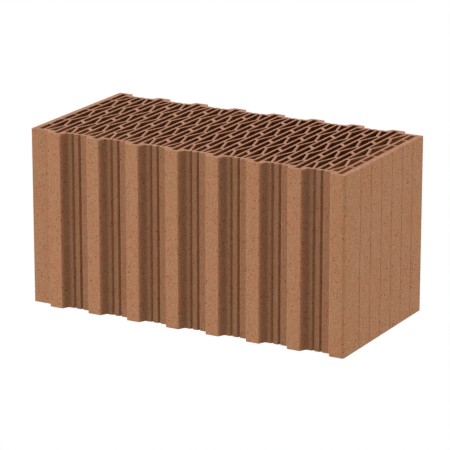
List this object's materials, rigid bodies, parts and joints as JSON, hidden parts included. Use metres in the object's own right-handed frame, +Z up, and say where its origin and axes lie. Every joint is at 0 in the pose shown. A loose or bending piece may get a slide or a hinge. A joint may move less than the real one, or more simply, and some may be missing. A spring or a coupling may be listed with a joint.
{
  "type": "hollow clay block",
  "caption": "Hollow fired-clay wall block: upright slots and zigzag-webbed holes from bed face to bed face, with interlocking tongues and recesses on both long faces.",
  "frame": {"origin": "centre of the lower bed face, on the level floor the block stands on", "axes": "+X along the block's length, +Y towards the long face away from the viewer, +Z up along the holes"},
  "size_m": [0.486, 0.243, 0.249],
  "materials": {
    "fired_clay": "matt fired clay, orange-brown, with fine dark specks"
  },
  "bodies": {
    "root": {"clay_block": "fired_clay"}
  },
  "joints": []
}
